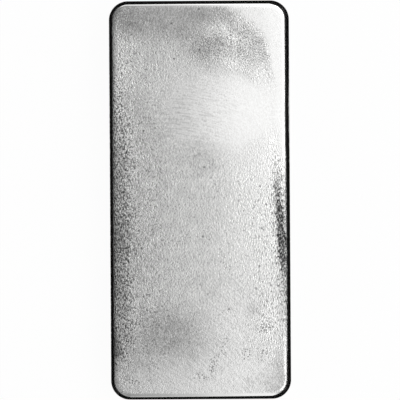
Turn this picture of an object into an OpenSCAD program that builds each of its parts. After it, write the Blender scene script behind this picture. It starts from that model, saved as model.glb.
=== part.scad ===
// Cast silver bar of one hundred troy ounces.
// One solid slab: four upright corners rounded in plan, and walls with the slight
// draft that lets a casting drop out of its mould. The lower edge is a plain roll.
// The upper face falls away in a broad shallow shoulder, down to a crisp arris.
// It lies on its larger face. The origin is the middle of that face, the bar's
// length runs along Y, and Z is up.

/* [Slab] */
// Width at the foot of the long walls
bar_width = 83.5; // [60:0.5:120]
// Length at the foot of the end walls
bar_length = 183.5; // [130:0.5:260]
// Thickness from face to face, which sets the weight
bar_height = 19.7; // [12:0.1:30]

/* [Corners and edges] */
// Radius of the four upright corners, seen from above
corner_radius = 9.2; // [7.5:0.1:20]
// Radius of the shoulder, where the upper face falls away to the walls
shoulder_radius = 4.5; // [2:0.1:6]
// How steep the shoulder has become at its outer end, in degrees
shoulder_angle = 46; // [30:1:60]
// Radius of the arris between the shoulder and the wall
arris_radius = 0.6; // [0.3:0.1:1.5]
// Radius rolled along the lower edge
foot_edge_radius = 2.2; // [0.5:0.1:3.5]
// Draft of the walls, in degrees from upright
wall_draft = 1.5; // [0:0.1:5]

/* [Hidden] */
$fn = 96;

// Length of wall between the corners, on the long sides and on the ends
side_run = bar_length - 2 * corner_radius;
end_run = bar_width - 2 * corner_radius;

// Outward direction of the drafted wall, in the plane of the edge profile
wall_normal = [cos(wall_draft), sin(wall_draft)];

// The arris and the lower roll stand this far proud of what runs into them, which
// ends in a faint line against each
edge_proud = 0.003;

// Profile points lie on whole microns, so that the straight walls and the rounded
// corners meet in the same line
function whole_micron(value) = round(1000 * value) / 1000;
function whole_microns(point) = [for (part = point) whole_micron(part)];

// Centre of the lower roll, for a wall whose foot reaches out this far
function foot_centre(reach) = [reach - foot_edge_radius, foot_edge_radius];

// Outward direction at the shoulder's outer end
shoulder_end = [sin(shoulder_angle), cos(shoulder_angle)];

// From the shoulder's centre to the arris's centre, which leaves the arris proud
shoulder_to_arris =
  whole_microns((shoulder_radius - arris_radius + edge_proud) * shoulder_end);

// Height of the arris's centre
arris_height = bar_height - shoulder_radius + shoulder_to_arris[1];

// How much further in the arris's centre lies than the lower roll's, so that the
// drafted wall passes along both
arris_setback =
  whole_micron((wall_normal[1] * (arris_height - foot_edge_radius)
    + arris_radius - foot_edge_radius) / wall_normal[0]);

// Centre of the arris
function arris_centre(reach) = [foot_centre(reach)[0] - arris_setback, arris_height];

// Centre of the shoulder
function shoulder_centre(reach) = arris_centre(reach) - shoulder_to_arris;

// From a roll's centre to where the wall passes it
function to_wall(radius) = whole_microns(wall_normal * (radius - edge_proud));

// The shoulder, from the top of its roll out to the arris
module shoulder() {
  far = 2 * shoulder_radius;
  intersection() {
    circle(r = shoulder_radius);
    polygon([[0, 0], [0, far], [far, far], far * shoulder_end]);
  }
}

// Half of the bar's section, from its middle plane out to one wall
module half_section(reach) {
  foot = foot_centre(reach);
  arris = arris_centre(reach);
  top = shoulder_centre(reach);
  intersection() {
    translate([0, -bar_height])
      square([2 * reach, 3 * bar_height]);
    union() {
      polygon([
        [0, 0],
        [foot[0], 0],
        foot + to_wall(foot_edge_radius),
        arris + to_wall(arris_radius),
        arris,
        [top[0], bar_height],
        [0, bar_height]
      ]);
      translate(foot) circle(r = foot_edge_radius);
      translate(arris) circle(r = arris_radius);
      translate(top) shoulder();
    }
  }
}

// The bar's whole section across one direction
module section(reach) {
  half_section(reach);
  mirror([1, 0]) half_section(reach);
}

// The stretch between the corners, with the two long walls
module middle_block() {
  rotate([90, 0, 0])
    linear_extrude(height = side_run, center = true)
      section(bar_width / 2);
}

// The stretch between the corners, with the two end walls
module end_block() {
  rotate([90, 0, 90])
    linear_extrude(height = end_run, center = true)
      section(bar_length / 2);
}

// One rounded corner, turned to face its own quarter
module corner(quarter) {
  rotate([0, 0, 90 * quarter])
    rotate_extrude(angle = 90)
      half_section(corner_radius);
}

module silver_bar() {
  color([0.80, 0.80, 0.79]) {
    middle_block();
    end_block();
    for (quarter = [0 : 3]) {
      x_side = (quarter == 0 || quarter == 3) ? 1 : -1;
      y_side = quarter < 2 ? 1 : -1;
      translate([x_side * end_run / 2, y_side * side_run / 2, 0])
        corner(quarter);
    }
  }
}

silver_bar();
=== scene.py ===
# %% [markdown]
# # A cast silver bar
# A hundred-ounce silver bar is one casting. Molten silver is poured into an iron
# mould, shrinks a little as it sets, and drops out with a finely pebbled skin and
# walls that lean in by a degree or two. Its upper face falls away to the walls in a
# smooth shoulder that ends in a crisp edge.
#
# The measured slab comes from the imported part. This script gives it what the slab
# leaves out: the low crown and slow swells of a cast face, the pebbled grain, grey and
# bright areas that are partly painted shade and painted reflection, pits painted as
# dark spots of shade, and light that lets metal read as metal.

# %% Load the part and measure it
import math
import bpy
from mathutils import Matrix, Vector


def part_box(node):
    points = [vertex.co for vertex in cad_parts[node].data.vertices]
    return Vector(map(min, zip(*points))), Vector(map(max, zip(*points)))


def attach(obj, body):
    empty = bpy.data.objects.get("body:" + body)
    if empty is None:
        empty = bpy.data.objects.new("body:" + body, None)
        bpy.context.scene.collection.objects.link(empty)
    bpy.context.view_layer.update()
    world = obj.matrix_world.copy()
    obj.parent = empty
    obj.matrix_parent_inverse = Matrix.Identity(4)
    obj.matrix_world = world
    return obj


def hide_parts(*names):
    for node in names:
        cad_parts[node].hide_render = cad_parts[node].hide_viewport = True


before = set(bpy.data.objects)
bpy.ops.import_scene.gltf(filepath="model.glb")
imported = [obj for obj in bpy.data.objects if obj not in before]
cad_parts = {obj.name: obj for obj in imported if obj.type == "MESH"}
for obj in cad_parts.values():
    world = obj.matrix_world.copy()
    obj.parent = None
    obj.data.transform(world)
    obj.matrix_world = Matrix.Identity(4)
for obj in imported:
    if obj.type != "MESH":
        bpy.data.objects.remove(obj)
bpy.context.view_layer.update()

low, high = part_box("silver_bar")
width, length, thickness = (high[i] - low[i] for i in range(3))
mm = 0.001
print(f"bar: {width / mm:.1f} x {length / mm:.1f} x {thickness / mm:.2f} mm")

# %% [markdown]
# ## Two small helpers
# Colours are written as the hex values a painter or web designer would use. They
# could be typed in as linear numbers, but nobody can picture those, so one function
# turns the hex value into the linear numbers that light is added up in.
#
# Materials and shapes are both built from nodes. They could be wired up by hand in
# Blender's editor, but a script can be read and changed. One function, `add`, adds a
# node, sets its options and fills its sockets. A sum is a node too, so the plain
# operations get short names.

# %% Colours
def linear(hex_colour):
    """An sRGB hex colour as linear red, green, blue and alpha."""
    parts = [int(hex_colour[i:i + 2], 16) / 255 for i in (1, 3, 5)]
    return [p / 12.92 if p <= 0.04045 else ((p + 0.055) / 1.055) ** 2.4 for p in parts] + [1.0]


print("middle grey is", [round(part, 3) for part in linear("#808080")])

# %% Nodes
PLUS, MINUS, TIMES, OVER, SMALLER, LARGER, UNSIGNED, POWER = (
    f"ShaderNodeMath {operation}" for operation in
    ("ADD", "SUBTRACT", "MULTIPLY", "DIVIDE", "MINIMUM", "MAXIMUM", "ABSOLUTE", "POWER")
)
SHIFT, SHIFT_BACK, SHRINK, STRETCH, DISTANCE = (
    f"ShaderNodeVectorMath {operation}" for operation in
    ("ADD", "SUBTRACT", "DIVIDE", "SCALE", "LENGTH")
)


def add(tree, kind, *values, at=None, **options):
    """Add a node. kind is its type, and its operation after a space where it has one.

    values fill its first sockets, at fills sockets by name, options are its settings.
    A sum or a product of more than two values becomes a chain of nodes.
    """
    if kind in (PLUS, TIMES) and len(values) > 2:
        values = (add(tree, kind, *values[:-1]), values[-1])
    kind, _, operation = kind.partition(" ")
    node = tree.nodes.new(kind)
    if operation:
        node.operation = operation
    for name, value in options.items():
        setattr(node, name, value)
    pairs = [(node.inputs[i], value) for i, value in enumerate(values)]
    for name, value in (at or {}).items():
        pairs.append((next(i for i in node.inputs if i.name == name and i.enabled), value))
    for socket, value in pairs:
        if isinstance(value, bpy.types.Node):
            value = next(o for o in value.outputs if o.enabled)
        if isinstance(value, bpy.types.NodeSocket):
            tree.links.new(value, socket)
        else:
            socket.default_value = value
    return node


print("one function for every node")

# %% [markdown]
# ## The slab as a rule
# The real bar takes its form from the mould: straight walls, rounded upright corners,
# a shoulder above and a soft roll below. A box with a Bevel modifier could be rounded
# like this, but a bevel leaves the face as one big polygon. The slow relief of a cast
# face needs points all over it.
#
# So the form is written as a rule, and Geometry Nodes make it. A box is divided into
# an even grid of small squares, and each of its points is then moved three times.
# First the four upright corners are rounded in plan, then the upper and lower edges
# are shaped in section, and last the walls are leaned in for the draft.

# %% Start the tree and name its sizes
slab = bpy.data.node_groups.new("cast_slab", "GeometryNodeTree")
slab.interface.new_socket("Geometry", in_out="OUTPUT", socket_type="NodeSocketGeometry")
sizes = {
    "Width": width,
    "Length": length,
    "Thickness": thickness,
    "Corner radius": 9.2 * mm,
    "Shoulder radius": 4.5 * mm,
    "Shoulder angle": math.radians(46),
    "Arris radius": 0.6 * mm,
    "Foot radius": 2.2 * mm,
    "Draft": math.tan(math.radians(1.5)),
    "Grid": 0.66 * mm,
    "Crown": 0.45 * mm,
    "Margin fall": 0.16 * mm,
    "Swell": 0.10 * mm,
    "Ripple": 0.012 * mm,
    "Wall wave": 0.12 * mm,
}
sockets = {}
for name, value in sizes.items():
    socket = slab.interface.new_socket(name, in_out="INPUT", socket_type="NodeSocketFloat")
    socket.default_value = value
    sockets[name] = socket.identifier
metal_socket = slab.interface.new_socket("Metal", in_out="INPUT", socket_type="NodeSocketMaterial")
given = slab.nodes.new("NodeGroupInput")
size = {name: given.outputs[name] for name in sizes}
print(f"{len(sizes)} named sizes")

# %% The box and its grid
COMBINE, SEPARATE = "ShaderNodeCombineXYZ", "ShaderNodeSeparateXYZ"
MOVE = "GeometryNodeSetPosition"
half = {axis: add(slab, TIMES, size[name], 0.5) for axis, name in (("x", "Width"), ("y", "Length"))}
points_along = [
    add(slab, PLUS, add(slab, OVER, size[name], size["Grid"]), 1.0) for name in ("Width", "Length")
]
points_up = 21
box_size = add(slab, COMBINE, size["Width"], size["Length"], size["Thickness"])
box = add(slab, "GeometryNodeMeshCube", box_size, *points_along, points_up)
half_way = add(slab, TIMES, size["Thickness"], 0.5)
seated = add(slab, MOVE, box, at={"Offset": add(slab, COMBINE, 0.0, 0.0, half_way)})
print(f"squares of {sizes['Grid'] / mm:.2f} mm, standing on the lower face")

# %% Round the four upright corners in plan
place = add(slab, SEPARATE, add(slab, "GeometryNodeInputPosition"))
past, core, side = {}, {}, {}
for axis, output in (("x", place.outputs[0]), ("y", place.outputs[1])):
    reach = add(slab, UNSIGNED, output)
    core_half = add(slab, MINUS, half[axis], size["Corner radius"])
    side[axis] = add(slab, "ShaderNodeMath SIGN", output)
    past[axis] = add(slab, LARGER, add(slab, MINUS, reach, core_half), 0.0)
    core[axis] = add(slab, SMALLER, reach, core_half)
past_far = add(slab, LARGER, past["x"], past["y"])
outward = add(slab, "ShaderNodeVectorMath NORMALIZE", add(slab, COMBINE, past["x"], past["y"], 0.0))
inset = add(slab, MINUS, size["Corner radius"], past_far)
print(f"corners of {sizes['Corner radius'] / mm:.1f} mm round a straight core")

# %% [markdown]
# ## The edge in section
# On the real bar the upper edge is a wide shoulder, where the melt drew away from the
# mould, and then a crisp arris. The foot has one plain roll. One fillet would give a
# rounded block, and a chamfer would give a hard facet. Two arcs, one after the other,
# give both the soft fall and the crisp end.
#
# A broad arc turns from level down to a given angle, and a tight one turns the rest of
# the way to upright. A point's share of the way round the edge gives the angle, and
# the angle gives the place, with sines and cosines.

# %% The two arcs of an edge
rise = place.outputs[2]
is_upper = add(slab, "ShaderNodeMath GREATER_THAN", rise, half_way)
broad, tight = (
    add(slab, "GeometryNodeSwitch", is_upper, size["Foot radius"], size[upper], input_type="FLOAT")
    for upper in ("Shoulder radius", "Arris radius")
)


def arcs(angle, turned):
    """How far out and down the two arcs have gone at an angle, where the broad one ends at turned."""
    sine_turned, sine = (add(slab, "ShaderNodeMath SINE", a) for a in (turned, angle))
    cosine_turned, cosine = (add(slab, "ShaderNodeMath COSINE", a) for a in (turned, angle))
    out = add(slab, PLUS, add(slab, TIMES, broad, sine_turned),
              add(slab, TIMES, tight, add(slab, MINUS, sine, sine_turned)))
    down = add(slab, PLUS, add(slab, TIMES, broad, add(slab, MINUS, 1.0, cosine_turned)),
               add(slab, TIMES, tight, add(slab, MINUS, cosine_turned, cosine)))
    return out, down


edge_out, edge_down = arcs(math.pi / 2, size["Shoulder angle"])
print(f"shoulder {sizes['Shoulder radius'] / mm:.1f} mm, arris {sizes['Arris radius'] / mm:.1f} mm")

# %% Shape the upper and lower edges
nearest = add(slab, SMALLER, rise, add(slab, MINUS, size["Thickness"], rise))
way = add(slab, PLUS, add(slab, MINUS, edge_out, inset), nearest)
way = add(slab, OVER, way, add(slab, PLUS, edge_out, edge_down), use_clamp=True)
angle = add(slab, TIMES, way, math.pi / 2)
out, down = arcs(angle, add(slab, SMALLER, angle, size["Shoulder angle"]))
beyond_out = add(slab, LARGER, add(slab, MINUS, inset, edge_out), 0.0)
beyond_down = add(slab, LARGER, add(slab, MINUS, nearest, edge_down), 0.0)
new_inset = add(slab, PLUS, beyond_out, add(slab, MINUS, edge_out, out))
new_nearest = add(slab, PLUS, beyond_down, down)
from_top = add(slab, MINUS, size["Thickness"], new_nearest)
new_rise = add(slab, "GeometryNodeSwitch", is_upper, new_nearest, from_top, input_type="FLOAT")
print(f"foot rolled at {sizes['Foot radius'] / mm:.1f} mm")

# %% Lean the walls in and put the points in place
edge_above = add(slab, "GeometryNodeSwitch", is_upper, 0.0, edge_down, input_type="FLOAT")
wall_top = add(slab, MINUS, size["Thickness"], edge_above)
climbed = add(slab, MINUS, add(slab, SMALLER, new_rise, wall_top), size["Foot radius"])
lean = add(slab, TIMES, add(slab, LARGER, climbed, 0.0), size["Draft"])
stay = add(slab, MINUS, 1.0, add(slab, OVER, lean, size["Corner radius"]))
radius = add(slab, TIMES, add(slab, MINUS, size["Corner radius"], new_inset), stay)
arm = add(slab, SEPARATE, add(slab, STRETCH, outward, at={"Scale": radius}))
target = [
    add(slab, TIMES, side[axis], add(slab, PLUS, core[axis], arm.outputs[i]))
    for i, axis in enumerate("xy")
]
shaped = add(slab, MOVE, seated, at={"Position": add(slab, COMBINE, *target, new_rise)})
print(f"walls lean in by {sizes['Draft']:.3f} of their height")

# %% [markdown]
# ## Crown, swells and ripples
# Silver sets from the mould wall inwards, so a cast face is never flat. It stands
# highest along its middle and falls off towards the long sides, in a crown about half
# a millimetre high. One side has sunk a little more, and slow swells a few centimetres
# across lie over it all. The eye can't see such a height, but it sees the slope,
# because a slope of one degree turns the reflection by two.
#
# Bump could fake the slope, but the relief would vanish from the outline and from any
# mesh made of the bar. The points are there, so they are moved. All of it goes
# inwards, and the bar never grows past its measured size.

# %% The crown and its margins
RANGE = "ShaderNodeMapRange"
spot = add(slab, "GeometryNodeInputPosition")
spot_x, _, spot_z = add(slab, SEPARATE, spot).outputs
across = add(slab, OVER, add(slab, UNSIGNED, spot_x), half["x"])
crown = add(slab, TIMES, across, across, size["Crown"])
# Out from the middle, the share of the half width where the margin starts to fall
margin_start = 0.66
in_margin = add(slab, RANGE, across, margin_start, 1.0, 0.0, 1.0)
margin_fall = add(slab, TIMES, in_margin, in_margin, size["Margin fall"])
print(f"the sides lie {(sizes['Crown'] + sizes['Margin fall']) / mm:.2f} mm below the middle")

# %% Hollows, swells and ripples
NOISE = "ShaderNodeTexNoise"
SOFT = {"interpolation_type": "SMOOTHSTEP"}
swell_apart, ripple_apart = 38 * mm, 6 * mm
hollows = []
# Centre across and along as shares of the bar, reach across and along in mm, depth in mm
for share_x, share_y, wide, long, depth in (
    (0.50, 0.222, 60, 54, 0.76),    # the right side sinks a little, beyond the middle
    (-0.10, 0.47, 50, 14, 0.10),    # a trough across the far end
):
    away = add(slab, SHIFT_BACK, spot, (share_x * width, share_y * length, 0.0))
    away = add(slab, SHRINK, away, (wide * mm, long * mm, 1.0))
    bowl = add(slab, "ShaderNodeTexGradient", away, gradient_type="QUADRATIC_SPHERE")
    hollows.append(add(slab, RANGE, bowl.outputs["Fac"], 0.0, 1.0, 0.0, depth * mm, **SOFT))
swell = add(slab, NOISE, at={"Vector": spot, "Scale": 1 / swell_apart, "Detail": 1.5})
ripple = add(slab, NOISE, at={"Vector": spot, "Scale": 1 / ripple_apart, "Detail": 1.0})
fall = add(slab, PLUS, crown, margin_fall, *hollows,
           add(slab, TIMES, swell, size["Swell"]), add(slab, TIMES, ripple, size["Ripple"]))
# The walls and the foot stay where they are
still_below, free_above = 0.5 * thickness, 0.9 * thickness
near_top = add(slab, RANGE, spot_z, still_below, free_above, 0.0, 1.0, **SOFT)
fall = add(slab, TIMES, fall, near_top, -1.0)
print(f"{len(hollows)} hollows, swells {swell_apart / mm:.0f} mm apart, ripples {ripple_apart / mm:.0f} mm")

# %% Waves in the walls, and the finished tree
wave_apart = 14 * mm
facing = add(slab, SEPARATE, add(slab, "GeometryNodeInputNormal"))
wave = add(slab, NOISE, at={"Vector": spot, "Scale": 1 / wave_apart, "Detail": 2.0})
is_wall = add(slab, RANGE, add(slab, UNSIGNED, facing.outputs[2]), 0.05, 0.5, 1.0, 0.0)
wave_in = add(slab, TIMES, wave, size["Wall wave"], is_wall, -1.0)
sideways = add(slab, COMBINE, facing.outputs[0], facing.outputs[1], 0.0)
sideways = add(slab, STRETCH, sideways, at={"Scale": wave_in})
relief = add(slab, SHIFT, sideways, add(slab, COMBINE, 0.0, 0.0, fall))
settled = add(slab, MOVE, shaped, at={"Offset": relief})
smooth = add(slab, "GeometryNodeSetShadeSmooth", settled)
real = add(slab, "GeometryNodeRealizeInstances", smooth)
dressed = add(slab, "GeometryNodeSetMaterial", real, at={"Material": given.outputs["Metal"]})
slab.links.new(dressed.outputs[0], add(slab, "NodeGroupOutput").inputs[0])
print(f"{len(slab.nodes)} nodes")

# %% [markdown]
# ## Fine silver, as cast
# Fine silver is the whitest metal there is: it returns about 95% of the light, and
# nearly the same at each colour. It is soft, and its skin takes the pebble of the
# mould and every later rub. So one face shows many finishes: coarse grain along the
# sides, where it was touched least, a worn satin in the middle, bright places that are
# partly painted reflection, and grey places that are partly thin films where it was
# handled and partly painted shade.
#
# Each finish could be a material of its own on its own faces, but then they would
# meet in hard lines. Here the metal is one Principled shader, and only two things
# change from place to place: how strong the grain is and how grey the colour is. Both
# are placed by distances from the edges and by soft patches.

# %% Where things lie on the bar
silver = bpy.data.materials.new("fine_silver_as_cast")
silver.use_nodes = True
skin = silver.node_tree
skin.nodes.clear()
where = add(skin, "ShaderNodeTexCoord").outputs["Object"]
skin_x, skin_y, skin_z = add(skin, SEPARATE, where).outputs
from_side = add(skin, MINUS, width / 2, add(skin, UNSIGNED, skin_x))
from_end = add(skin, MINUS, length / 2, add(skin, UNSIGNED, skin_y))
# The grain stops at the rubbed shoulder, and a little sooner at the ends
shoulder_ends, face_starts, end_allowance = 1.5 * mm, 2.6 * mm, 1.2 * mm
from_edge = add(skin, SMALLER, from_side, add(skin, MINUS, from_end, end_allowance))
on_face = add(skin, RANGE, from_edge, shoulder_ends, face_starts, 0.0, 1.0, **SOFT)
wall_ends, arris_starts = 0.86 * thickness, 0.93 * thickness
on_wall = add(skin, RANGE, skin_z, wall_ends, arris_starts, 1.0, 0.0)
print("face, shoulder and walls told apart")

# %% [markdown]
# ## Soft patches
# No mark of casting or handling is a clean shape: each fades out and has a ragged
# edge. Marks could be painted on an image, but an image is fixed to one size and one
# unwrapping. A patch of nodes is a soft oval, 1 in its middle and 0 at its edge, and
# noise frays its outline.
#
# A patch's place is given as shares of the bar's width and length, so it stays in
# place if the bar's size changes. The same fray loosens the bands along the two long
# sides.

# %% Ragged edges and soft patches
MAPPING = "ShaderNodeMapping"
fray_apart = 8 * mm
fray = add(skin, NOISE, at={"Vector": where, "Scale": 1 / fray_apart, "Detail": 5.0, "Roughness": 0.6})
fray = add(skin, SHIFT_BACK, fray.outputs["Color"], (0.5, 0.5, 0.5))
# How far the outline of most marks is pulled about, and that of the finest
wide_pull, narrow_pull = 9 * mm, 4 * mm
frayed, firm = (
    add(skin, SHIFT, where, add(skin, STRETCH, fray, at={"Scale": pull}))
    for pull in (wide_pull, narrow_pull)
)
frayed_x, frayed_y, _ = add(skin, SEPARATE, frayed).outputs


def seat(on, share_x, share_y, wide, long, turn):
    """Places measured from an oval's middle, with its reaches as 1 and its turn taken out."""
    return add(skin, MAPPING, on, vector_type="TEXTURE", at={
        "Location": (share_x * width, share_y * length, 0.0),
        "Rotation": (0.0, 0.0, math.radians(turn)),
        "Scale": (wide * mm, long * mm, 1.0)})


def patches(*ovals, on=frayed):
    """The sum of soft ovals: across, along, reach across, reach along, turn in degrees, amount."""
    total = 0.0
    for *oval_seat, amount in ovals:
        oval = add(skin, "ShaderNodeTexGradient", seat(on, *oval_seat), gradient_type="SPHERICAL")
        mark = add(skin, RANGE, oval.outputs["Fac"], 0.0, 0.9, 0.0, amount, **SOFT)
        total = add(skin, PLUS, total, mark)
    return total


print(f"outlines pulled about by up to {wide_pull / mm:.0f} and {narrow_pull / mm:.0f} mm")

# %% Bands along the two long sides
LEFT, RIGHT = -1, 1
# The bands weaken towards both ends of the bar
share_at_ends = 0.3
in_middle = add(
    skin, SMALLER,
    add(skin, RANGE, frayed_y, 0.12 * length, 0.42 * length, 1.0, share_at_ends),
    add(skin, RANGE, frayed_y, -0.46 * length, -0.35 * length, share_at_ends, 1.0),
)


def margin(side, near, far, amount):
    """A band along one long side, full up to near and gone by far, in mm from the edge."""
    inwards = add(skin, MINUS, width / 2, add(skin, TIMES, frayed_x, side))
    band = add(skin, RANGE, inwards, near * mm, far * mm, amount, 0.0, **SOFT)
    return add(skin, TIMES, band, in_middle)


print("side bands ready")

# %% [markdown]
# ## Grey film and painted shade, bright skin and painted sheen
# Silver greys where sulphur in the air or a hand has touched it, and stays white where
# it was wiped. Here the grey is also painted shade, greyest along the left side, and
# the white is also a painted reflection of bright light, strongest right of the middle.
# A second material for tarnish could be mixed in, but the film is far thinner than
# paint and leaves the metal metal. So film with painted shade and bright skin with
# painted sheen are two amounts from 0 to 1, each a sum of bands and patches, and only
# the colour is mixed from them at the end.
#
# The grey ends in one long curve inside the far right corner, and outside it the colour
# is painted bright, as a painted reflection. A circle is too round for that curve, so
# the distance is measured with a power higher than two, which gives an oval with fuller
# shoulders.

# %% The curve in the far right corner, with painted sheen outside it
fullness = 2.7
curve_middle, curve_across, curve_along = 0.19 * length, 0.43 * width, 0.295 * length
curve_place = add(skin, SHIFT_BACK, frayed, (0.0, curve_middle, 0.0))
curve_place = add(skin, SHRINK, curve_place, (curve_across, curve_along, 1.0))
curve_x, curve_y, _ = add(skin, SEPARATE, curve_place).outputs
curve_reach = add(skin, PLUS, *(
    add(skin, POWER, add(skin, LARGER, part, 0.0), fullness) for part in (curve_x, curve_y)
))
sheen_outside_curve = add(
    skin, TIMES, add(skin, RANGE, curve_reach, 0.88, 1.12, 0.0, 1.0, **SOFT),
    add(skin, RANGE, curve_x, 0.0, 0.5, 0.0, 1.0), add(skin, RANGE, curve_y, -0.45, 0.0, 0.0, 1.0),
)
print("bright outside a curve in the far right corner")

# %% Grey film and painted shade
# The grey is partly tarnish film and partly painted shade, greyest along the left side
film_and_shade = add(
    skin, PLUS, margin(LEFT, 3, 34, 0.42), margin(RIGHT, 5, 30, 0.03), margin(RIGHT, 1, 11, 0.15),
    patches(
        (-0.47, -0.12, 15, 72, 0, 0.36),        # the left side is greyest along its middle
        (-0.14, 0.45, 46, 15, 0, 0.38),         # a smooth grey band across the far end
        (0.05, 0.465, 18, 7, 0, 0.22),          # thicker right of the middle
        (-0.44, 0.45, 14, 12, 0, 0.26),         # and in the far left corner
        (0.0, 0.385, 19, 12, -15, 0.27),        # a grey mark shaped like a hand's: the heel of the thumb,
        (0.07, 0.365, 17, 12, -10, 0.42),       # its middle,
        (0.23, 0.43, 19, 7, -34, 0.29),         # its outer edge,
        (0.37, 0.365, 5, 14, 18, 0.28),         # the side,
        (0.345, 0.345, 7, 12, 18, 0.18),        # and inside it,
        (0.18, 0.392, 20, 9, 0, 0.16),          # the palm's edge,
        (0.264, 0.35, 9, 14, 0, 0.34),          # the tip,
        (0.187, 0.411, 10, 2.4, -28, -0.16),    # and a lighter streak through it
        (0.02, 0.11, 19, 12, 0, 0.22),          # a faint cloud in the middle
        (0.42, -0.21, 22, 66, 0, 0.17),         # the right side, from the middle down
        (0.29, -0.275, 7, 6, 0, 0.2),           # a small grey spot inside it
        (-0.145, -0.33, 26, 18, -15, 0.37),     # a dull spot near the near end
        (-0.47, -0.365, 4, 9, 30, 0.7),         # a small stain at the left edge
        (0.48, -0.46, 15, 22, 0, 0.45),         # the near right corner,
        (0.35, -0.465, 18, 10, 0, 0.14),        # and along the near end beside it
        (-0.28, -0.46, 28, 10, 0, -0.12),       # the near end's left half is lighter
        (-0.42, 0.24, 10, 26, 0, 0.08),         # a little more on the far left,
        (-0.43, -0.09, 9, 10, 0, 0.16),         # and half way along the left side
        (-0.22, 0.265, 18, 24, 0, -0.14),       # lighter left of the bright skin
    ),
    # The thin line and the grey strips on the right are a painted reflection of dark surroundings
    patches(
        (0.441, -0.07, 2.6, 30, 4, 0.38),       # a thin line on the right
        (0.472, 0.01, 2.2, 16, 3, 0.32),        # and plain grey strips outside it
        (0.465, -0.24, 5, 40, 0, 0.14),
        on=firm,
    ),
)
# It ends at the curve in the far right corner
film_and_shade = add(skin, TIMES, film_and_shade, add(skin, MINUS, 1.0, sheen_outside_curve))
print("film placed")

# %% Two dried splashes
def ring(amount, *oval_seat):
    """A faint oval line, where a splash of melt has dried on the face."""
    measured = add(skin, SHIFT, seat(where, *oval_seat), add(skin, STRETCH, fray, at={"Scale": 0.8}))
    reach = add(skin, DISTANCE, measured).outputs["Value"]
    off_line = add(skin, UNSIGNED, add(skin, MINUS, reach, 1.0))
    return add(skin, RANGE, off_line, 0.0, 0.22, amount, 0.0, **SOFT)


film_and_shade = add(skin, PLUS, film_and_shade, ring(0.07, -0.07, 0.083, 12, 4.5, 3), ring(0.12, 0.015, 0.096, 5, 3.2, 0))
print("two faint rings near the middle")

# %% Bright skin and painted sheen
# Bright skin is partly painted sheen: the colour is painted whiter where the face shows bright light
bright = add(skin, PLUS, sheen_outside_curve, patches(
    (0.22, 0.21, 56, 40, 0, 1.3),       # the brightest skin, right of the middle
    (-0.14, 0.27, 12, 14, 0, 0.3),      # where it fades to the left
    (0.33, -0.10, 28, 85, 0, 0.9),      # the right side
    (-0.42, 0.33, 15, 36, 0, 0.5),      # the far left
    (0.20, -0.33, 28, 26, 0, 0.6),      # inside the near right corner
    (0.0, -0.47, 115, 22, 0, 1.0),      # the near end
))
print("bright skin placed")

# %% [markdown]
# ## How coarse the skin is
# The cast skin is coarse where the mould gripped it and smooth where it was handled or
# the melt set last. Grain height and the painted shade between the grains could be set
# apart, but on the real bar they come and go together. So one amount, grit, from 0 for
# rubbed smooth to 1 for as it left the mould, sets both.

# %% Places with a skin of their own
# A thin line of coarse grains along the right side, painted dark as a reflection of dark surroundings
dark_reflection_line = patches(
    (0.445, -0.085, 2.7, 30, 3, 0.60),
    (0.448, -0.10, 2.5, 19, 3, 0.55),   # closest along its middle
    (0.430, -0.08, 5, 50, 4, 0.36),     # sparse grains beside it
    (0.422, 0.07, 3, 32, 4, 0.26),      # and beyond its far end
    on=firm,
)
# Worn places, where the grain is rubbed down
calm = patches(
    (-0.06, 0.22, 34, 26, 0, 1.0),      # far side of the middle
    (0.0, -0.45, 90, 32, 0, 0.9),       # the near end
    (0.17, -0.29, 24, 26, 0, 0.7),      # and what joins it on the right
)
calm = add(skin, SMALLER, calm, 1.0, use_clamp=True)
# Fine pebbles in the hand-shaped grey mark
mottled = patches(
    (0.20, 0.41, 28, 18, -35, 1.05), (0.08, 0.37, 20, 16, -10, 1.0), (0.28, 0.37, 16, 20, 30, 1.0),
)
print("dark line, worn places and mottled corner")

# %% Grit
least_grit, wall_grit = 0.20, 0.6
grit = add(
    skin, PLUS, least_grit,
    margin(LEFT, 4, 15, 0.66), margin(LEFT, 10, 34, 0.34), margin(RIGHT, 8, 42, 0.37),
    patches(
        (0.37, -0.28, 12, 15, 0, 0.16),     # a pebbled place on the right
        (0.36, 0.06, 9, 14, 0, -0.12),      # a smoother one beyond the dark line
        (-0.20, 0.47, 46, 15, 0, -0.20),    # the far end is smoother
        (0.24, 0.21, 44, 32, 0, -0.5),      # and so is the bright skin
    ),
    add(skin, TIMES, sheen_outside_curve, -0.5), add(skin, TIMES, dark_reflection_line, 0.5),
    add(skin, TIMES, mottled, 0.14), add(skin, TIMES, calm, -0.12),
    use_clamp=True,
)
grit = add(skin, LARGER, grit, add(skin, TIMES, on_wall, wall_grit))
print("coarse along the sides, calm in the middle")

# %% [markdown]
# ## The grain
# The skin of a casting is pebbled, with grains about 0.2 to 0.6 mm across. A Voronoi
# texture would give neat cells, but cast pebbles run into one another, which noise
# does better. At this distance the finest would melt into one tone, so the grain is
# drawn as coarse as it needs to show, at 0.45 and 0.8 mm. Along the sides the metal
# shrank against the mould, and there the grains are drawn out along the bar.
#
# Bump carries it, because it is finer than the mesh. Its height is measured from the
# middle of the pattern, so that a change in strength makes no step.

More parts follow.
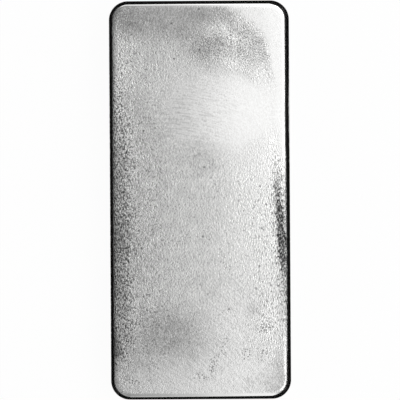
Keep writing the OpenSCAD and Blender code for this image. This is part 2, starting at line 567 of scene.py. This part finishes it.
# %% Three patterns, mixed by place
MIX = "ShaderNodeMix"
coarse_grain, fine_grain, drawn_grain = 0.8 * mm, 0.45 * mm, 0.6 * mm
broad_spot = add(skin, MAPPING, where, at={"Scale": (1.0, 0.9, 1.0)})
drawn_spot = add(skin, MAPPING, where, at={"Scale": (1.6, 0.42, 1.0)})
fine = add(skin, NOISE, at={"Vector": where, "Scale": 1 / fine_grain, "Detail": 1.0})
coarse, drawn = (
    add(skin, NOISE, at={"Vector": on, "Scale": 1 / grain, "Detail": 2.0, "Roughness": 0.6})
    for on, grain in ((broad_spot, coarse_grain), (drawn_spot, drawn_grain))
)
dark_reflection_line = add(skin, TIMES, dark_reflection_line, 1.0, use_clamp=True)
left_drawn = margin(LEFT, 4, 26, 0.6)
along = add(skin, PLUS, dark_reflection_line, margin(RIGHT, 8, 36, 0.8), left_drawn, use_clamp=True)
coarse = add(skin, MIX, along, data_type="FLOAT", at={"A": coarse, "B": drawn})
mottled = add(skin, TIMES, mottled, 0.85, use_clamp=True)
coarse = add(skin, MIX, mottled, data_type="FLOAT", at={"A": coarse, "B": fine})
grain = add(skin, PLUS, add(skin, TIMES, coarse, 0.6), add(skin, TIMES, fine, 0.4))
print(f"grains of {coarse_grain / mm:.2f}, {fine_grain / mm:.2f} and, drawn out, {drawn_grain / mm:.2f} mm")

# %% Bump
relief_depth = 0.9 * mm
# The share of that depth where there is no grit, and where there is most
smoothest, coarsest = 0.05, 0.58
# What worn places lose of it, and what the drawn-out grains on the left gain
calm_loses, left_gains = 0.55, 0.4
worn = patches((0.36, -0.12, 28, 90, 0, 0.3))      # the right side was rubbed a little
strength = add(
    skin, TIMES,
    add(skin, RANGE, grit, 0.0, 1.0, smoothest, coarsest), add(skin, LARGER, on_face, on_wall),
    add(skin, MINUS, 1.0, worn), add(skin, MINUS, 1.0, add(skin, TIMES, calm, calm_loses)),
    add(skin, PLUS, 1.0, add(skin, TIMES, left_drawn, left_gains)),
)
height = add(skin, TIMES, add(skin, MINUS, grain, 0.5), strength)
bump = add(skin, "ShaderNodeBump", at={"Strength": 1.0, "Distance": relief_depth, "Height": height})
print(f"bump up to {coarsest * relief_depth / mm:.2f} mm from pit to peak")

# %% Roughness
# The shoulder is polished by handling, the face is satin and the walls are duller
polished, satin, dull_wall = 0.10, 0.19, 0.28
roughness = add(skin, RANGE, on_face, 0.0, 1.0, polished, satin)
roughness = add(skin, LARGER, roughness, add(skin, TIMES, on_wall, dull_wall))
print(f"roughness {polished} on the shoulder, {satin} on the face, {dull_wall} on the walls")

# %% [markdown]
# ## Painted shade between the grains and in pits
# Between coarse grains the colour is painted dark, as painted shade where the grains
# hide one another from the light. It could be a noise of its own, but then it would
# lie on the peaks as often as between them, so the lowest parts of the same pattern
# are drawn dark. The grey follows it too: handling rubs film off the tops of the
# grains and leaves it between them, and the deeper grey there is also painted shade.
#
# Pits are rarer and rounder, where a gas bubble opened, and in a few places they form
# short trails. Real holes would need far more points than the mesh has, so each pit is
# only a dark spot painted into the colour, as painted shade for the hole, and a
# Voronoi texture places them. It gives each cell one point and one chance colour: the
# point is where a pit may be, and the colour decides whether it is there.

# %% Painted shade between the grains
# How high up the pattern the painted shade reaches where there is no grit, and where there is most
least_grain_shade, most_grain_shade = 0.30, 0.48
grain_shade_line = add(skin, RANGE, grit, 0.0, 1.0, least_grain_shade, most_grain_shade)
grain_shade_line = add(skin, PLUS, grain_shade_line, add(skin, TIMES, dark_reflection_line, 0.09))
grain_shade = add(skin, RANGE, add(skin, MINUS, grain_shade_line, coarse), -0.07, 0.08, 0.0, 1.0, **SOFT)
grain_shade = add(skin, TIMES, grain_shade, add(skin, RANGE, grit, 0.1, 0.8, 0.35, 1.0))
print("the lowest third to half of the pattern is dark")

# %% Film and painted shade between the grains
# Greyer than it was placed between the grains and lighter on their tops, as thicker film and painted shade
most_between_grains, least_on_tops = 1.3, 0.7
film_and_shade = add(skin, TIMES, film_and_shade, add(skin, RANGE, coarse, 0.38, 0.62, most_between_grains, least_on_tops))
print(f"film from {most_between_grains} between the grains to {least_on_tops} on top of them")

# %% Painted pit shade, alone and in trails
def pit_shades(spacing, radius, share):
    """Round dark spots painted as the shade of pits: spacing of the cells and radius of a pit in mm, and
    the share of cells with one.
    """
    cell = add(skin, "ShaderNodeTexVoronoi", voronoi_dimensions="2D",
               at={"Vector": where, "Scale": 1 / (spacing * mm)})
    inner, outer = 0.6 * radius / spacing, 1.4 * radius / spacing
    dot = add(skin, RANGE, cell.outputs["Distance"], inner, outer, 1.0, 0.0)
    chance = add(skin, "ShaderNodeSeparateColor", cell.outputs["Color"])
    return add(skin, TIMES, dot, add(skin, "ShaderNodeMath LESS_THAN", chance, share))


# Short trails across the near end, and one looser group on the right
trails = patches(
    (0.126, -0.368, 2.4, 8, -20, 1.6), (0.07, -0.414, 2.4, 8, -20, 1.6),
    (-0.01, -0.440, 6, 2.2, 0, 1.6), (0.25, -0.384, 2.8, 4, 10, 1.6),
    (0.34, -0.386, 2.8, 5, -30, 1.6), (-0.38, -0.45, 6, 2.4, 0, 1.2),
    (0.35, -0.313, 6, 7, 0, 1.2), on=firm,
)
trails = add(skin, SMALLER, trails, 1.0)
lone_cell, trail_cell = 13, 1.1     # in mm
in_trails = add(skin, TIMES, pit_shades(trail_cell, 0.32, 0.65), trails)
pit_shade = add(skin, PLUS, pit_shades(lone_cell, 0.42, 0.18), in_trails)
# A painted pit is less dark than the painted shade between the grains, and the walls hold less of both
in_pit_shade, on_walls = 0.7, 0.3
dark = add(skin, TIMES, add(skin, LARGER, grain_shade, add(skin, TIMES, pit_shade, in_pit_shade)),
           add(skin, LARGER, on_face, add(skin, TIMES, on_wall, on_walls)))
print(f"lone pits in cells of {lone_cell} mm, trails of pits in cells of {trail_cell} mm")

# %% [markdown]
# ## Clouds, rubbing strokes and chill lines
# A handled casting is never one even tone. Clouds a few millimetres across lie in its
# tarnish, and a haze of finer ones over it all, strongest in the worn places. Fine
# strokes run across those in shallow arcs, the way a cloth was drawn over them. On the
# walls the melt rose in short steps, each of which left a faint level line round the
# bar.
#
# Strokes could be thin curves laid on the face, but thousands of them would be slow.
# Noise squeezed in one direction gives the same look, and all four patterns are that
# one noise, stretched or turned.

# %% Clouds and haze
# Where a pattern is low it greys the metal, and where it is high it leaves or brightens it
cloud_apart, haze_apart = 5 * mm, 1.1 * mm
cloud = add(skin, NOISE, at={"Vector": where, "Scale": 1 / cloud_apart, "Detail": 4.0, "Roughness": 0.6})
not_bright = add(skin, LARGER, add(skin, MINUS, 1.0, add(skin, TIMES, bright, 0.85)), 0.15)
cloud = add(skin, TIMES, add(skin, RANGE, cloud, 0.3, 0.7, 0.22, 0.0), not_bright)
haze = add(skin, NOISE, at={"Vector": where, "Scale": 1 / haze_apart, "Detail": 2.0})
haze = add(skin, TIMES, add(skin, RANGE, haze, 0.3, 0.7, 0.12, -0.10), add(skin, PLUS, calm, 0.5))
print(f"clouds {cloud_apart / mm:.0f} mm apart, haze {haze_apart / mm:.1f} mm")

# %% Rubbing strokes
stroke_width, arc_radius = 0.7 * mm, 90 * mm
stroke_turn = math.radians(-22)     # from straight across the bar
drawn_out = 0.10        # the pattern's scale along the strokes, where 1 is its scale across them
turned = add(skin, MAPPING, where, vector_type="TEXTURE", at={"Rotation": (0.0, 0.0, stroke_turn)})
turned_x, turned_y, _ = add(skin, SEPARATE, turned).outputs
bent = add(skin, PLUS, turned_y, add(skin, TIMES, turned_x, turned_x, 1 / (2 * arc_radius)))
arched = add(skin, COMBINE, add(skin, TIMES, turned_x, drawn_out), bent, 0.0)
strokes = add(skin, NOISE, at={"Vector": arched, "Scale": 1 / stroke_width, "Detail": 2.0})
strokes = add(skin, TIMES, add(skin, RANGE, strokes, 0.3, 0.7, 0.28, -0.18), calm)
print(f"strokes {stroke_width / mm:.1f} mm wide, in arcs of {arc_radius / mm:.0f} mm")

# %% Chill lines
line_apart = 1.4 * mm
lying = add(skin, MAPPING, where, at={"Scale": (0.05, 0.05, 1.0)})
chill = add(skin, NOISE, at={"Vector": lying, "Scale": 1 / line_apart, "Detail": 2.0, "Roughness": 0.6})
print(f"level lines about {line_apart / mm:.1f} mm apart")

# %% [markdown]
# ## Colour, and the finished metal
# The metal's colour is what it reflects straight back: nearly white for clean silver
# and where sheen is painted, middle grey under a film and under painted shade, and
# almost black where shade is painted between the grains and in pits. The walls are
# painted greyer than the face, as painted shade for the darker surroundings they
# reflect. The layers could each be a shader with its own gloss, but film and painted
# shade lie on the same grain and share its gleam. So they are mixed as colours, from
# the widest to the smallest, and one shader takes the result. Its other values stay
# those of a plain metal.

# %% Mix the colours
dull = add(skin, TIMES, add(skin, PLUS, film_and_shade, cloud, strokes, haze), on_face, use_clamp=True)
bright = add(skin, TIMES, bright, on_face, use_clamp=True)
# The walls' grey is painted shade, darker than the face, with faint level lines in it
wall_shade_tone = add(skin, MIX, add(skin, RANGE, chill, 0.35, 0.68, 0.0, 1.0), data_type="RGBA",
                at={"A": linear("#CDCDCB"), "B": linear("#DEDEDC")})
# The bright share is partly painted sheen, the dull share partly painted shade, and the dark share painted
# shade between the grains and in pits
colour = linear("#F1F1F0")
for share, tone in (
    (bright, linear("#FEFEFD")), (dull, linear("#969695")), (dark, linear("#303030")), (on_wall, wall_shade_tone),
):
    colour = add(skin, MIX, share, data_type="RGBA", at={"A": colour, "B": tone})
surface = add(skin, "ShaderNodeBsdfPrincipled",
              at={"Base Color": colour, "Metallic": 1.0, "Roughness": roughness, "Normal": bump})
skin.links.new(surface.outputs[0], add(skin, "ShaderNodeOutputMaterial").inputs[0])
print(f"silver: {len(skin.nodes)} nodes")

# %% [markdown]
# ## Make the bar
# The bar is one piece of metal, so it is one mesh. It could stay a live modifier, but
# then whoever uses the part would need the node tree too. The tree works on an empty
# mesh, its result is taken out as a plain mesh, and the helper object goes. The piece
# then takes the place of the plain slab.
#
# Every object is put in the scene in the same two steps, so one function does that.

# %% Objects
scene = bpy.context.scene


def put(name, data):
    """Make an object of a mesh, a lamp or a camera, and put it in the scene."""
    placed = bpy.data.objects.new(name, data)
    scene.collection.objects.link(placed)
    return placed


print("one function for every object")

# %% The finished piece
maker = put("bar_maker", bpy.data.meshes.new("bar_blank"))
modifier = maker.modifiers.new("cast_slab", "NODES")
modifier.node_group = slab
for name, value in sizes.items():
    modifier[sockets[name]] = value
modifier[metal_socket.identifier] = silver
evaluated = maker.evaluated_get(bpy.context.evaluated_depsgraph_get())
mesh = bpy.data.meshes.new_from_object(evaluated)
bpy.data.objects.remove(maker)
mesh.name = "silver_bar_cast"
# One slot with the silver, and every face on it
mesh.materials.clear()
mesh.materials.append(silver)
mesh.polygons.foreach_set("material_index", [0] * len(mesh.polygons))
bar = put("silver_bar_cast", mesh)
mesh.calc_loop_triangles()
print(f"bar: {len(mesh.loop_triangles)} triangles, {len(mesh.vertices)} points")

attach(bar, "root")
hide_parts("silver_bar")

# %% [markdown]
# ## The table
# The bar lies on a plain white table, with nothing else on it. Shiny metal shows its
# surroundings, so the table is also what the walls of the bar reflect. It could be
# made white with strong lamps, but they would wash out the silver. Instead the camera
# and reflections see it almost as plain white, and the part that is still lit keeps
# the bar's soft shadow.

# %% A pale table
table_reach = 12.0      # from the bar to each side of the table
square = ((-1, -1), (1, -1), (1, 1), (-1, 1))
corners = [(x * table_reach, y * table_reach, 0.0) for x, y in square]
table_mesh = bpy.data.meshes.new("table")
table_mesh.from_pydata(corners, [], [(0, 1, 2, 3)])
table = put("table", table_mesh)
print(f"table {2 * table_reach:.0f} m square")

# %% White card on the table
card = bpy.data.materials.new("white_card")
card.use_nodes = True
paper = card.node_tree
paper.nodes.clear()
plain_white = 0.94      # how much of the plain white is laid over the lit card
ray = add(paper, "ShaderNodeLightPath").outputs
seen = add(paper, LARGER, ray["Is Glossy Ray"], ray["Is Transmission Ray"])
seen = add(paper, LARGER, ray["Is Camera Ray"], seen)
matt = add(paper, "ShaderNodeBsdfDiffuse", linear("#FBFBFB"))
white = add(paper, "ShaderNodeEmission", linear("#FFFFFF"), 1.0)
mixed = add(paper, "ShaderNodeMixShader", add(paper, TIMES, seen, plain_white), matt, white)
paper.links.new(mixed.outputs[0], add(paper, "ShaderNodeOutputMaterial").inputs[0])
table_mesh.materials.append(card)
print("the card looks white and keeps a soft shadow")

# %% [markdown]
# ## A black collar
# White metal on a white table loses its outline. A dark line could be drawn round the
# bar, but it would stay there under any other light. In a studio strips of black card
# stand close round the object, where the camera doesn't see them, and the shoulder
# reflects them as one crisp dark line. The collar does the same.
#
# It floats clear of the walls. How far it rises past the upper face sets how wide the
# line is, so it stands highest along the right side and lowest at the near end.

# %% The collar
collar_gap = 1.5 * mm
collar_foot = thickness - 2.8 * mm
rise_right, rise_left, rise_far, rise_near = 5.2 * mm, 2.7 * mm, 2.5 * mm, 1.2 * mm
corner = sizes["Corner radius"]
count = 160
rim = []
for i in range(count):
    turn = 2 * math.pi * i / count
    cx, cy = math.cos(turn), math.sin(turn)
    x = math.copysign(width / 2 - corner, cx) + (corner + collar_gap) * cx
    y = math.copysign(length / 2 - corner, cy) + (corner + collar_gap) * cy
    end_rise = rise_far if cy > 0 else rise_near
    side_rise = rise_right if cx > 0 else rise_left
    rim.append((x, y, thickness + end_rise + (side_rise - end_rise) * math.sqrt(abs(cx))))
points = [(x, y, collar_foot) for x, y, _ in rim] + rim
faces = [(i, (i + 1) % count, count + (i + 1) % count, count + i) for i in range(count)]
collar_mesh = bpy.data.meshes.new("collar")
collar_mesh.from_pydata(points, [], faces)
collar = put("collar", collar_mesh)
print(f"collar {collar_gap / mm:.1f} mm clear of the walls")

# %% Black card, seen only in the silver
black = bpy.data.materials.new("black_card")
black.use_nodes = True
ink = black.node_tree
ink.nodes.clear()
ink_matt = add(ink, "ShaderNodeBsdfDiffuse", linear("#0A0A0A"))
ink.links.new(ink_matt.outputs[0], add(ink, "ShaderNodeOutputMaterial").inputs[0])
collar_mesh.materials.append(black)
collar.visible_camera = False
collar.visible_diffuse = False
collar.visible_shadow = False
print("collar hidden from all but reflections")

# %% [markdown]
# ## Light
# Metal shows the room more than it shows its own colour. Lamps alone would leave a
# mirror-like face black between their reflections, so a whole pale studio stands round
# the bar. Its walls are even. Overhead it is darker on the left and bright on the
# right, so a face that looks straight up shows a slow change from grey to white.
#
# Two soft lamps stand to the right and give the table its soft shadow. A strip beyond
# the far end draws a fine white line along the shoulder there.

# %% The studio's tones
world = bpy.data.worlds.new("studio")
world.use_nodes = True
scene.world = world
sky = world.node_tree
sky.nodes.clear()
sky_x, _, sky_z = add(sky, SEPARATE, add(sky, "ShaderNodeTexCoord").outputs["Generated"]).outputs
from_left = add(sky, RANGE, sky_x, -0.25, 0.25, 0.0, 1.0)
ramps = []
for value, stops in (
    # Overhead, from left to right
    (from_left, ((0.0, "#A0A0A0"), (0.2, "#8E8E8E"), (0.33, "#909090"), (0.414, "#A0A0A0"),
                 (0.5, "#C6C6C6"), (0.535, "#EBEBEB"), (0.565, "#FDFDFD"), (0.64, "#FFFFFF"),
                 (0.8, "#FAFAFA"), (1.0, "#E0E0E0"))),
    # Round about, from the horizon upwards
    (sky_z, ((0.0, "#F5F5F5"), (0.2, "#F5F5F5"), (0.6, "#ECECEC"))),
):
    ramp = add(sky, "ShaderNodeValToRGB", value)
    elements = ramp.color_ramp.elements
    elements.remove(elements[1])
    elements[0].position, elements[0].color = stops[0][0], linear(stops[0][1])
    for position, tone in stops[1:]:
        elements.new(position).color = linear(tone)
    ramps.append(ramp)
print(f"{len(ramps)} rows of tones")

# %% The studio
overhead, round_about = ramps
studio_strength = 1.05
how_high = add(sky, RANGE, sky_z, 0.42, 0.70, 0.0, 1.0, **SOFT)
level = add(sky, MIX, how_high, data_type="RGBA", at={"A": round_about, "B": overhead})
back = add(sky, "ShaderNodeBackground", level, studio_strength)
sky.links.new(back.outputs[0], add(sky, "ShaderNodeOutputWorld").inputs[0])
print(f"studio at a strength of {studio_strength}")

# %% Three soft lamps
def soft_lamp(name, x, y, z, wide, long, radiance):
    """A flat lamp that faces the bar. radiance is how bright it looks, where 1 is white."""
    data = bpy.data.lights.new(name, "AREA")
    data.shape, data.size, data.size_y = "RECTANGLE", wide, long
    data.energy = radiance * math.pi * wide * long
    lamp = put(name, data)
    lamp.location = (x, y, z)
    lamp.rotation_euler = (0.0, math.atan2(math.hypot(x, y), z), math.atan2(y, x))
    print(f"{name}: {data.energy:.2f} W")


soft_lamp("far_lamp", 0.49, 0.49, 1.10, 0.6, 0.6, 1.6)
soft_lamp("near_lamp", 0.62, -0.28, 1.08, 0.6, 0.6, 1.6)
soft_lamp("end_strip", 0.10, 0.80, 0.90, 0.30, 1.2, 0.6)

# %% [markdown]
# ## The camera
# It looks straight down at the bar. A near camera with a wide lens would show the
# walls leaning outwards, so it stands 1.2 m away with a long lens, and the walls stay
# hidden under the arris.

# %% Camera
camera_height = 1.2
lens_length, sensor_width = 232.3, 36       # in mm
slight_turn = math.radians(-0.36)           # the bar doesn't lie quite square to the camera
scene.view_settings.view_transform = "Standard"
camera_data = bpy.data.cameras.new("camera")
camera_data.sensor_width = sensor_width
camera_data.lens = lens_length
camera_data.clip_end = 5 * table_reach
camera = put("camera", camera_data)
camera.location = (0.0, 0.0, camera_height)
camera.rotation_euler = (0.0, 0.0, slight_turn)
scene.camera = camera
print(f"camera {camera_height} m up, with a {lens_length:.0f} mm lens")
